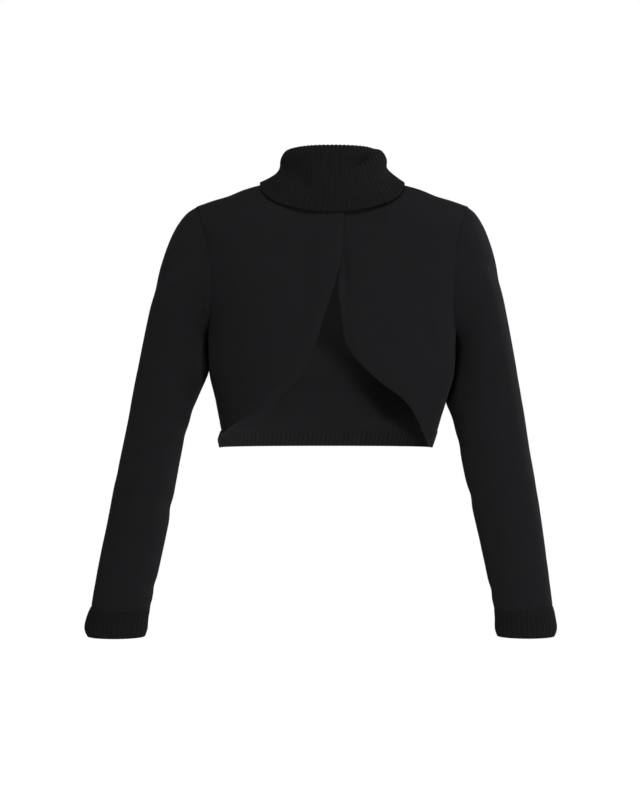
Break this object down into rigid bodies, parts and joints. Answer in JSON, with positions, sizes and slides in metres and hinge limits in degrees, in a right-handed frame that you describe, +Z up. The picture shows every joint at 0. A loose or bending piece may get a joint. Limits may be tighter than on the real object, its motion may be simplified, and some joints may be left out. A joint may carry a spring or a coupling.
{
  "type": "cutout sweater",
  "caption": "Cropped knitted sweater, filled out as if worn, with a rolled collar, long sleeves and fronts that lap at the chest and are cut away in curves to the sides.",
  "frame": {"origin": "the point at the foot of the wearer's neck, in the middle of the neck opening, where the neck and shoulders hold the sweater", "axes": "+Z up along the wearer's back, -Y the way the front faces, +X to the wearer's left"},
  "size_m": [0.656, 0.2064, 0.6829],
  "materials": {
    "front_right": "fine black jersey knit",
    "front_left": "fine black jersey knit",
    "back": "fine black jersey knit",
    "hem_band": "black rib knit",
    "sleeve_right": "fine black jersey knit",
    "sleeve_left": "fine black jersey knit",
    "cuff_right": "black rib knit",
    "cuff_left": "black rib knit",
    "collar": "black rib knit"
  },
  "bodies": {
    "root": {"front_right": "front_right", "front_left": "front_left", "back": "back", "hem_band": "hem_band", "sleeve_right_upper": "sleeve_right", "sleeve_right_lower": "sleeve_right", "sleeve_left_upper": "sleeve_left", "sleeve_left_lower": "sleeve_left", "cuff_right": "cuff_right", "cuff_left": "cuff_left", "collar": "collar"}
  },
  "joints": []
}
